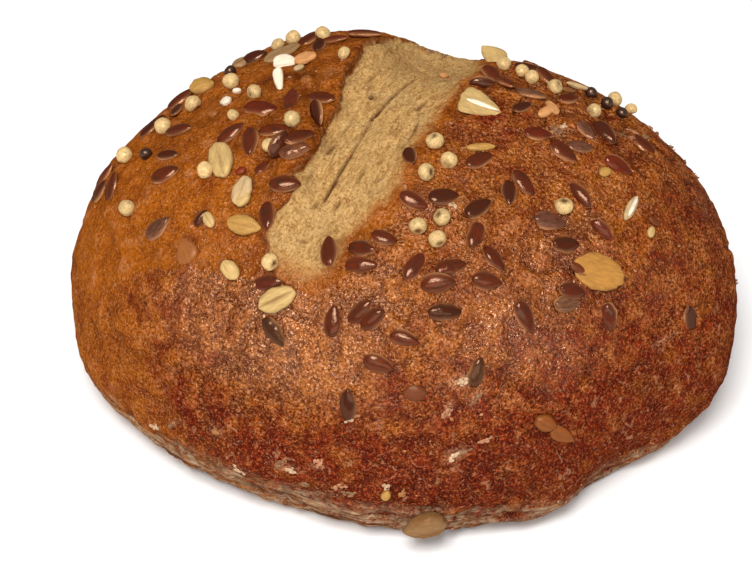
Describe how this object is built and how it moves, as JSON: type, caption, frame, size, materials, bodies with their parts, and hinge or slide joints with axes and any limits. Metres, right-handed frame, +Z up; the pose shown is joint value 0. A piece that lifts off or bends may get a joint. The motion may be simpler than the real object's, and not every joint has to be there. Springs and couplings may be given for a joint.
{
  "type": "multigrain bread roll",
  "caption": "Oval seeded bread roll with a domed brown crust, a torn pale slash over its crown and a flat base to rest on.",
  "frame": {"origin": "centre of the roll's length and width, on the surface it rests on", "axes": "+X along the roll's length, +Z up, and -Y is the side seen in the picture"},
  "size_m": [0.096, 0.0736, 0.0461],
  "materials": {
    "crust": "thin baked crust, tan on the left to red brown on the right, finely pebbled with a soft sheen, floury round the base; the torn slash is matt tan crumb",
    "flax_seed": "glossy dark brown seed coat with a paler rim",
    "millet_seed": "pale yellow, softly shiny, with a small dark eye",
    "dark_seed": "near black, softly shiny",
    "grain_flake": "golden to cream flakes and split kernels of grain, satin, with a groove",
    "flour": "matt pale crumbs and specks of flour"
  },
  "bodies": {
    "root": {"roll": "crust"}
  },
  "joints": []
}
